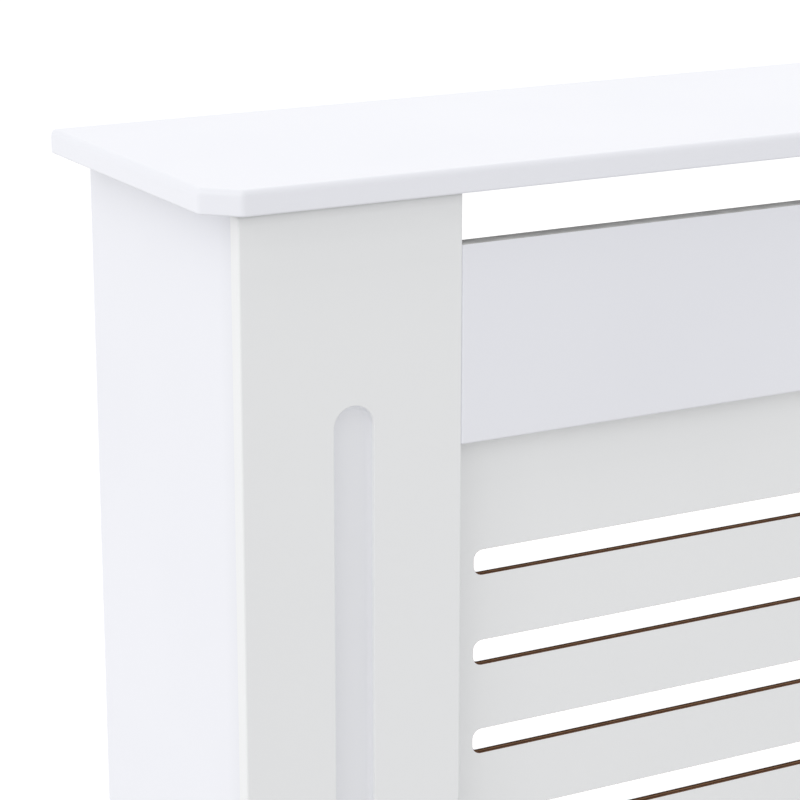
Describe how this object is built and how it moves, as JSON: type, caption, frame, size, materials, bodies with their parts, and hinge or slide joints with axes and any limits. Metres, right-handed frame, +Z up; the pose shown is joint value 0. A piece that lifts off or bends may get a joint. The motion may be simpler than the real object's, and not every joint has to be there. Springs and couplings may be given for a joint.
{
  "type": "radiator cover cabinet",
  "caption": "White lacquered MDF radiator cover: overhanging top board with clipped front corners, fluted posts, rails and a slotted grille.",
  "frame": {"origin": "on the floor, under the middle of the cover's bounding box", "axes": "+X along the front to the viewer's right, +Y from the front to the wall, +Z up"},
  "size_m": [1.12, 0.19, 0.815],
  "materials": {
    "lacquered_mdf": "satin white lacquer over MDF",
    "faced_hardboard": "satin white facing over raw brown fibreboard",
    "pine": "planed, unfinished",
    "beech": "turned, unfinished",
    "zinc_steel": "bright zinc plating"
  },
  "bodies": {
    "root": {"top_board": "lacquered_mdf", "front_post_left": "lacquered_mdf", "front_post_right": "lacquered_mdf", "upper_rail": "lacquered_mdf", "lower_rail": "lacquered_mdf", "grille_panel": "faced_hardboard", "grille_stiffener": "pine", "side_panel_left": "lacquered_mdf", "side_panel_right": "lacquered_mdf", "corner_batten_left": "pine", "corner_batten_right": "pine", "top_cleat_left": "pine", "top_cleat_right": "pine", "wall_bracket_left": "zinc_steel", "wall_bracket_right": "zinc_steel", "batten_post_screw_left_bottom": "zinc_steel", "batten_post_screw_left_top": "zinc_steel", "batten_post_screw_right_bottom": "zinc_steel", "batten_post_screw_right_top": "zinc_steel", "batten_side_screw_left_bottom": "zinc_steel", "batten_side_screw_left_top": "zinc_steel", "batten_side_screw_right_bottom": "zinc_steel", "batten_side_screw_right_top": "zinc_steel", "bracket_screw_left_front": "zinc_steel", "bracket_screw_left_rear": "zinc_steel", "bracket_screw_right_front": "zinc_steel", "bracket_screw_right_rear": "zinc_steel", "cleat_board_screw_left_front": "zinc_steel", "cleat_board_screw_left_rear": "zinc_steel", "cleat_board_screw_right_front": "zinc_steel", "cleat_board_screw_right_rear": "zinc_steel", "cleat_side_screw_left_front": "zinc_steel", "cleat_side_screw_left_rear": "zinc_steel", "cleat_side_screw_right_front": "zinc_steel", "cleat_side_screw_right_rear": "zinc_steel", "grille_screw_lower_rail_left": "zinc_steel", "grille_screw_lower_rail_right": "zinc_steel", "grille_screw_post_left_bottom": "zinc_steel", "grille_screw_post_left_middle": "zinc_steel", "grille_screw_post_left_top": "zinc_steel", "grille_screw_post_right_bottom": "zinc_steel", "grille_screw_post_right_middle": "zinc_steel", "grille_screw_post_right_top": "zinc_steel", "grille_screw_upper_rail_left": "zinc_steel", "grille_screw_upper_rail_right": "zinc_steel", "lower_rail_dowel_left_lower": "beech", "lower_rail_dowel_left_upper": "beech", "lower_rail_dowel_right_lower": "beech", "lower_rail_dowel_right_upper": "beech", "stiffener_screw_lower_rail": "zinc_steel", "stiffener_screw_upper_rail": "zinc_steel", "upper_rail_dowel_left_lower": "beech", "upper_rail_dowel_left_upper": "beech", "upper_rail_dowel_right_lower": "beech", "upper_rail_dowel_right_upper": "beech"}
  },
  "joints": []
}
